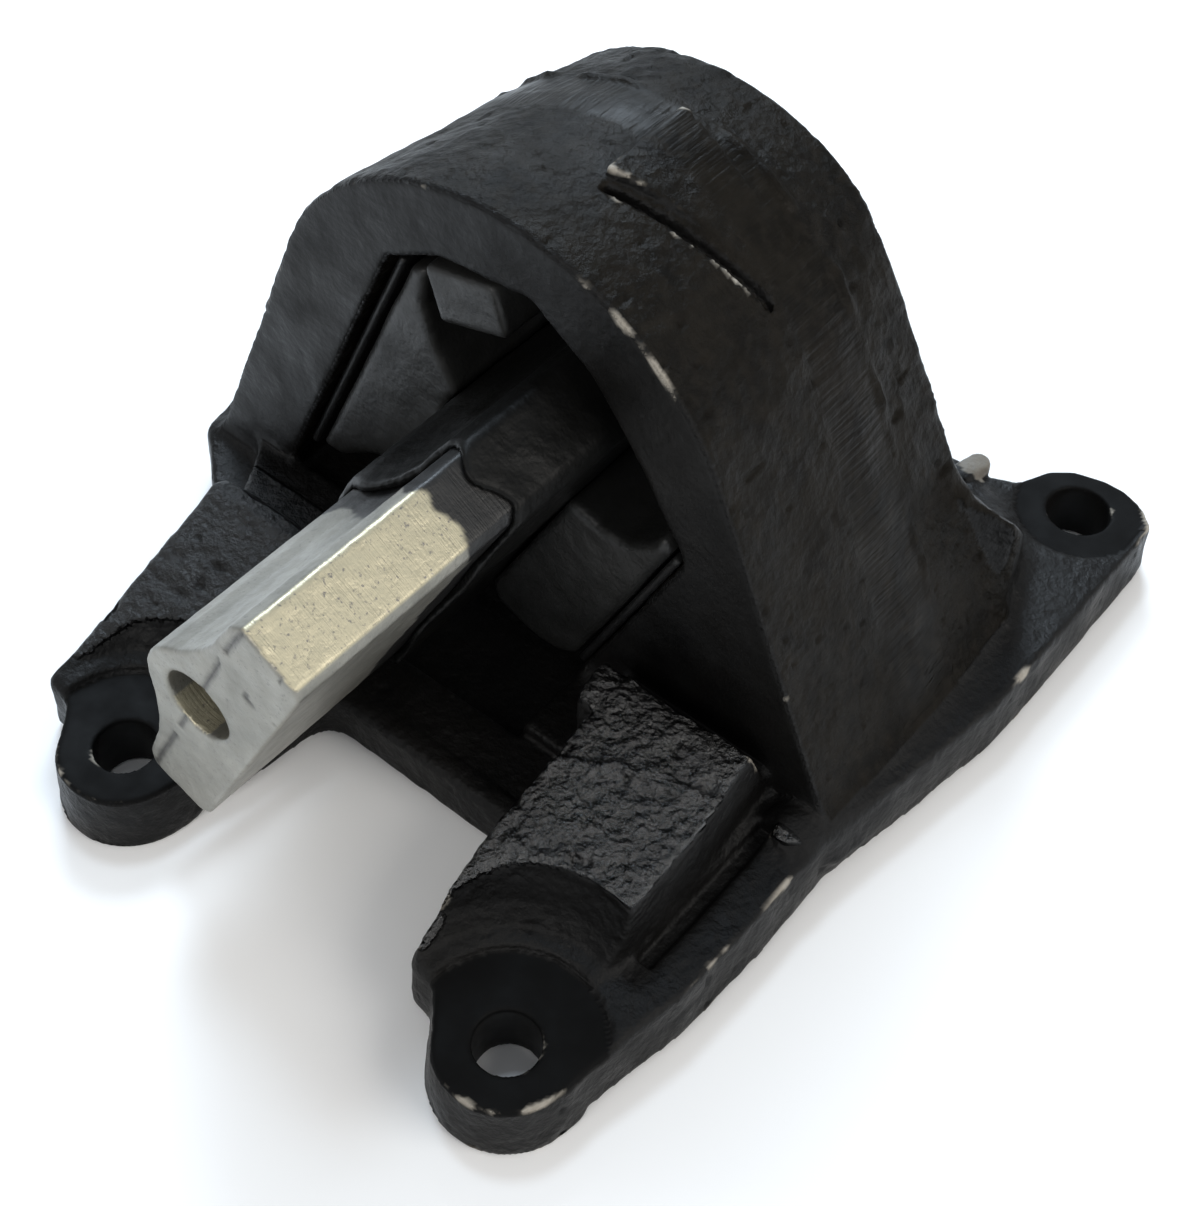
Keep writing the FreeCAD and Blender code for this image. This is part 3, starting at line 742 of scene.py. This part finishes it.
def rubber(name, base, gloss, shine=0.4):
    """Dark, slightly mottled surface; gloss is its lowest roughness."""
    s = Shader(name)
    tone = s.mix(s.spread(s.noise(14, 5), 0.35, 0.7), base, tuple(1.9 * c for c in base))
    s.link(tone, s.bsdf.inputs["Base Color"])
    s.link(s.spread(s.noise(8, 4), 0.3, 0.7, gloss, gloss + 0.2), s.bsdf.inputs["Roughness"])
    s.bump([(s.noise(1.0, 4), 0.07), (s.noise(5, 3), 0.35)])
    s.bsdf.inputs["Specular IOR Level"].default_value = shine
    return s.mat


paint = cast_paint()
metal = bar_metal()
matte_rubber = rubber("spring_rubber", (0.0105, 0.0105, 0.0100), 0.34)
skin_rubber = rubber("core_skin_rubber", (0.0030, 0.0030, 0.0028), 0.34, 0.16)
liner_steel = rubber("liner_black", (0.0040, 0.0040, 0.0040), 0.4)

PIECES = ((bracket, "bracket", "bracket_casting", "cast_bracket", paint),
          (core, "core", "core_bar", "core_aluminium", metal),
          (sleeve, "core", "core_sleeve", "rubber", skin_rubber),
          (stop, "bracket", "stop_block", "rubber", matte_rubber),
          (liner_left, "bracket", "liner_left", "liner_steel", liner_steel),
          (liner_right, "bracket", "liner_right", "liner_steel", liner_steel))
for piece, body, node, slot, material in PIECES:
    piece.data.materials.append(material)
    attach(piece, body)
    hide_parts(node)
LEGS = ((left_leg, "rubber_left_leg", -29.5, -6.0), (right_leg, "rubber_right_leg", 32.0, 13.5))
for piece, node, far, near in LEGS:
    piece.data.materials.append(matte_rubber)
    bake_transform(piece)
    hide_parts(node)

# ------------------------------------------------------------------ floor, lights and camera
bpy.ops.mesh.primitive_plane_add(size=8, location=(0, 0, -0.0002))
floor = bpy.context.object
floor.name = "floor"
floor_mat = bpy.data.materials.new("pale_floor")
floor_mat.use_nodes = True
floor_mat.node_tree.nodes["Principled BSDF"].inputs["Base Color"].default_value = (0.95, 0.95, 0.95, 1)
floor_mat.node_tree.nodes["Principled BSDF"].inputs["Roughness"].default_value = 0.9
floor.data.materials.append(floor_mat)


def soft_light(name, place, target, size, power, colour=(1, 1, 1)):
    lamp = bpy.data.lights.new(name, "AREA")
    lamp.shape = "RECTANGLE"
    lamp.size, lamp.size_y = size
    lamp.energy = power
    lamp.color = colour
    ob = bpy.data.objects.new(name, lamp)
    bpy.context.scene.collection.objects.link(ob)
    ob.location = place
    ob.rotation_euler = (Vector(target) - Vector(place)).to_track_quat("-Z", "Y").to_euler()
    return ob


soft_light("window_behind", (-0.64, 0.76, 0.82), (0.0, 0.06, 0.03), (0.52, 0.46), 13.5, (0.76, 0.88, 1.0))
soft_light("skylight", (-0.35, 0.33, 1.12), (0.05, 0.03, 0.03), (0.20, 0.20), 3.4, (0.72, 0.86, 1.0))
soft_light("right_soft", (1.0, 0.3, 0.75), (0.0, 0.06, 0.04), (0.8, 0.8), 7.0, (1.0, 0.96, 0.90))
soft_light("front_soft", (0.1, -1.1, 0.9), (0.0, 0.05, 0.04), (0.9, 0.6), 6.5, (1.0, 0.98, 0.95))
world = bpy.data.worlds.new("studio")
bpy.context.scene.world = world
world.use_nodes = True
world.node_tree.nodes["Background"].inputs["Color"].default_value = (0.93, 0.96, 1.0, 1)
world.node_tree.nodes["Background"].inputs["Strength"].default_value = 0.42

# the camera turned about the part, then down, then about its own axis
YAW, PITCH, ROLL = math.radians(37.575), math.radians(49.7225), math.radians(2.184)
back = Vector((math.sin(YAW) * math.cos(PITCH), -math.cos(YAW) * math.cos(PITCH), math.sin(PITCH)))
side = Vector((math.cos(YAW), math.sin(YAW), 0))
up = back.cross(side)
right = math.cos(ROLL) * side + math.sin(ROLL) * up
upward = -math.sin(ROLL) * side + math.cos(ROLL) * up
cam = bpy.data.cameras.new("camera")
cam.sensor_width = 36.0
cam.sensor_fit = "HORIZONTAL"
cam.lens = 56.75
cam.clip_start = 0.01
camera = bpy.data.objects.new("camera", cam)
bpy.context.scene.collection.objects.link(camera)
turn = Matrix((right, upward, back)).transposed().to_4x4()
camera.matrix_world = Matrix.Translation(Vector((0.15031, -0.10014, 0.27600))) @ turn
bpy.context.scene.camera = camera
bpy.context.scene.view_settings.view_transform = "Standard"
